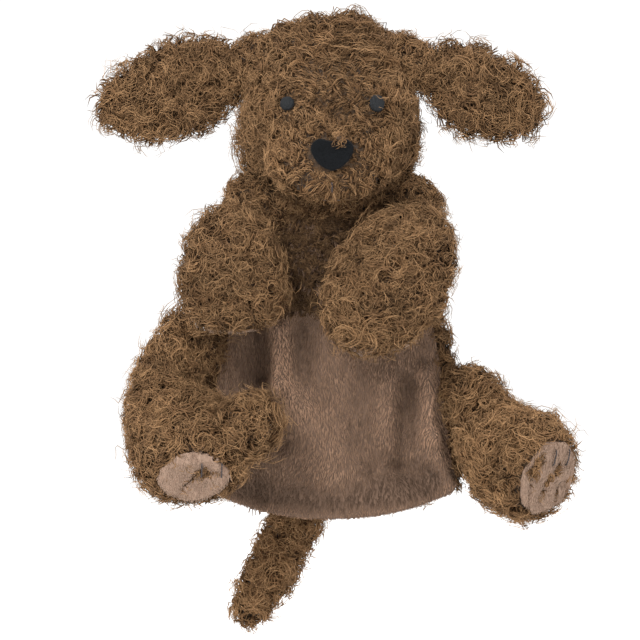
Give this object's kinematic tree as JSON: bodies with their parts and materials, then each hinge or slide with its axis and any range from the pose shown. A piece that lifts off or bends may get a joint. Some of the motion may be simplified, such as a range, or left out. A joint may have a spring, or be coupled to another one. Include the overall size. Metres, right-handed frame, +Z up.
{
  "type": "plush dog hand puppet",
  "caption": "Plush dog hand puppet with an open glove body, finger sleeve in the head, floppy ears, stuffed arms and legs, and a tail.",
  "frame": {"origin": "middle of the hand opening at the hem", "axes": "+Z up from the hem to the head, the puppet faces -Y, +X to the right seen from the front"},
  "size_m": [0.2257, 0.1014, 0.292],
  "materials": {
    "curly_fur": "curly bouclé pile, mid brown, 8 to 10 mm long",
    "short_plush": "short brushed plush, taupe",
    "pale_plush": "short brushed plush, pale pinkish taupe",
    "felt": "dark navy wool felt",
    "eye_thread": "dark navy embroidery thread, satin stitch",
    "toe_thread": "dark thread",
    "lining": "woven lining cloth, dull brown",
    "filling": "white fibre filling"
  },
  "bodies": {
    "torso": {"belly_panel": "short_plush", "back_panel": "curly_fur", "belly_hem_facing": "lining", "back_hem_facing": "lining"},
    "neck": {"neck_cuff": "lining"},
    "sleeve": {"finger_sleeve": "lining"},
    "head": {"head_face_panel": "curly_fur", "head_back_panel": "curly_fur", "head_stuffing": "filling", "nose_patch": "felt", "eye_left": "eye_thread", "eye_right": "eye_thread", "mouth_stitch": "eye_thread"},
    "tail": {"tail_fur": "curly_fur", "tail_stuffing": "filling"},
    "ear_left": {"ear_left_front": "curly_fur", "ear_left_back": "curly_fur"},
    "shoulder_left": {"shoulder_left": "lining"},
    "arm_left": {"arm_left_fur": "curly_fur", "arm_left_palm": "pale_plush", "arm_left_stuffing": "filling"},
    "hip_left": {"hip_left": "lining"},
    "leg_left": {"leg_left_fur": "curly_fur", "leg_left_sole": "pale_plush", "leg_left_stuffing": "filling", "leg_left_toe_inner": "toe_thread", "leg_left_toe_outer": "toe_thread"},
    "ear_right": {"ear_right_front": "curly_fur", "ear_right_back": "curly_fur"},
    "shoulder_right": {"shoulder_right": "lining"},
    "arm_right": {"arm_right_fur": "curly_fur", "arm_right_palm": "pale_plush", "arm_right_stuffing": "filling"},
    "hip_right": {"hip_right": "lining"},
    "leg_right": {"leg_right_fur": "curly_fur", "leg_right_sole": "pale_plush", "leg_right_stuffing": "filling", "leg_right_toe_inner": "toe_thread", "leg_right_toe_outer": "toe_thread"}
  },
  "joints": [
    {"name": "head_nod", "type": "hinge", "parent": "torso", "child": "neck", "pos_m": [0, 0, 0.15], "axis": [-1, 0, 0], "range_deg": [-13, 20], "stiffness_Nm_per_rad": 0.5},
    {"name": "head_tilt", "type": "hinge", "parent": "neck", "child": "sleeve", "pos_m": [0, 0, 0.15], "axis": [0, 1, 0], "range_deg": [-12, 12], "stiffness_Nm_per_rad": 0.5},
    {"name": "head_turn", "type": "hinge", "parent": "sleeve", "child": "head", "pos_m": [0, 0, 0.15], "axis": [0, 0, 1], "range_deg": [-28, 28], "stiffness_Nm_per_rad": 0.2},
    {"name": "ear_left_flap", "type": "hinge", "parent": "head", "child": "ear_left", "pos_m": [-0.036, 0.003, 0.205], "axis": [0, 1, 0], "range_deg": [-30, 10], "stiffness_Nm_per_rad": 0.05},
    {"name": "ear_right_flap", "type": "hinge", "parent": "head", "child": "ear_right", "pos_m": [0.035, 0.003, 0.206], "axis": [0, -1, 0], "range_deg": [-30, 10], "stiffness_Nm_per_rad": 0.05},
    {"name": "arm_left_raise", "type": "hinge", "parent": "torso", "child": "shoulder_left", "pos_m": [-0.041, -0.013, 0.124], "axis": [-1, 0, 0], "range_deg": [0, 33], "stiffness_Nm_per_rad": 0.06},
    {"name": "arm_left_spread", "type": "hinge", "parent": "shoulder_left", "child": "arm_left", "pos_m": [-0.041, -0.013, 0.124], "axis": [0, 1, 0], "range_deg": [-5, 35], "stiffness_Nm_per_rad": 0.06},
    {"name": "arm_right_raise", "type": "hinge", "parent": "torso", "child": "shoulder_right", "pos_m": [0.041, -0.013, 0.124], "axis": [-1, 0, 0], "range_deg": [0, 33], "stiffness_Nm_per_rad": 0.06},
    {"name": "arm_right_spread", "type": "hinge", "parent": "shoulder_right", "child": "arm_right", "pos_m": [0.041, -0.013, 0.124], "axis": [0, -1, 0], "range_deg": [-5, 35], "stiffness_Nm_per_rad": 0.06},
    {"name": "leg_left_swing", "type": "hinge", "parent": "torso", "child": "hip_left", "pos_m": [-0.058, -0.002, 0.072], "axis": [0, 0, -1], "range_deg": [-10, 60], "stiffness_Nm_per_rad": 0.06},
    {"name": "leg_left_lift", "type": "hinge", "parent": "hip_left", "child": "leg_left", "pos_m": [-0.058, -0.002, 0.072], "axis": [-1, 0, 0], "range_deg": [-10, 35], "stiffness_Nm_per_rad": 0.08},
    {"name": "leg_right_swing", "type": "hinge", "parent": "torso", "child": "hip_right", "pos_m": [0.06, -0.002, 0.056], "axis": [0, 0, 1], "range_deg": [-30, 15], "stiffness_Nm_per_rad": 0.06},
    {"name": "leg_right_lift", "type": "hinge", "parent": "hip_right", "child": "leg_right", "pos_m": [0.06, -0.002, 0.056], "axis": [-0.5524, -0.8336, 0], "range_deg": [-10, 35], "stiffness_Nm_per_rad": 0.08},
    {"name": "tail_wag", "type": "hinge", "parent": "torso", "child": "tail", "pos_m": [-0.009, 0.024, 0.024], "axis": [0, 1, 0], "range_deg": [-30, 30], "stiffness_Nm_per_rad": 0.05}
  ]
}
